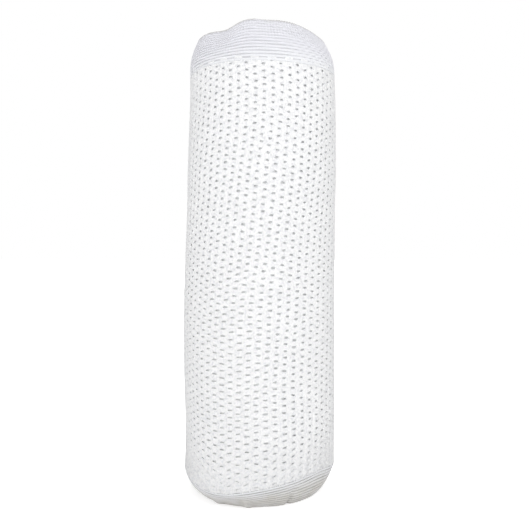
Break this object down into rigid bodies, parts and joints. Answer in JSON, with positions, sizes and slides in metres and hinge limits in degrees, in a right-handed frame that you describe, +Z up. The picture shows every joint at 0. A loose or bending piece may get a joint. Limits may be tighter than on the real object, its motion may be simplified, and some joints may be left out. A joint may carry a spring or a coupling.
{
  "type": "tree guard tube",
  "caption": "Upright wrap-around sleeve of white openwork mesh with ribbed end bands and a hook-and-loop flap at the back, for guarding a young trunk.",
  "frame": {"origin": "centre of the base ring that the guard stands on, on the tube's axis", "axes": "+Z up along the tube's axis, -Y towards the plain front, +Y towards the flap closure at the back"},
  "size_m": [0.103, 0.103, 0.305],
  "materials": {
    "mesh_cloth": "white knitted openwork mesh, matt",
    "ribbed_band": "white rib knit, matt",
    "binding_tape": "white woven tape, folded over the edge",
    "hook_tape": "white nylon hook pile on a woven back",
    "loop_tape": "white brushed loop pile",
    "placket_cloth": "white plain woven cloth"
  },
  "bodies": {
    "front_wall": {"front_outer_mesh": "mesh_cloth", "front_inner_mesh": "mesh_cloth", "front_top_band": "ribbed_band", "front_bottom_band": "ribbed_band"},
    "right_wing": {"right_outer_mesh": "mesh_cloth", "right_inner_mesh": "mesh_cloth", "right_top_band": "ribbed_band", "right_bottom_band": "ribbed_band"},
    "left_wing": {"left_outer_mesh": "mesh_cloth", "left_inner_mesh": "mesh_cloth", "left_top_band": "ribbed_band", "left_bottom_band": "ribbed_band", "left_edge_binding": "binding_tape", "placket": "placket_cloth", "loop_tape": "loop_tape"},
    "flap": {"flap_outer_mesh": "mesh_cloth", "flap_inner_mesh": "mesh_cloth", "flap_top_band": "ribbed_band", "flap_bottom_band": "ribbed_band", "flap_edge_binding": "binding_tape", "hook_tape": "hook_tape"}
  },
  "joints": [
    {"name": "right_wing_fold", "type": "hinge", "parent": "front_wall", "child": "right_wing", "pos_m": [0.05038, 0.01071, 0.1525], "axis": [0, 0, -1], "range_deg": [0, 70]},
    {"name": "left_wing_fold", "type": "hinge", "parent": "front_wall", "child": "left_wing", "pos_m": [-0.05038, 0.01071, 0.1525], "axis": [0, 0, 1], "range_deg": [0, 70]},
    {"name": "flap_peel", "type": "hinge", "parent": "right_wing", "child": "flap", "pos_m": [0, 0.0515, 0.1525], "axis": [0, 0, -1], "range_deg": [0, 120]}
  ],
  "couplings": [
    {"joint": "left_wing_fold", "follows": "right_wing_fold", "ratio": 1}
  ]
}
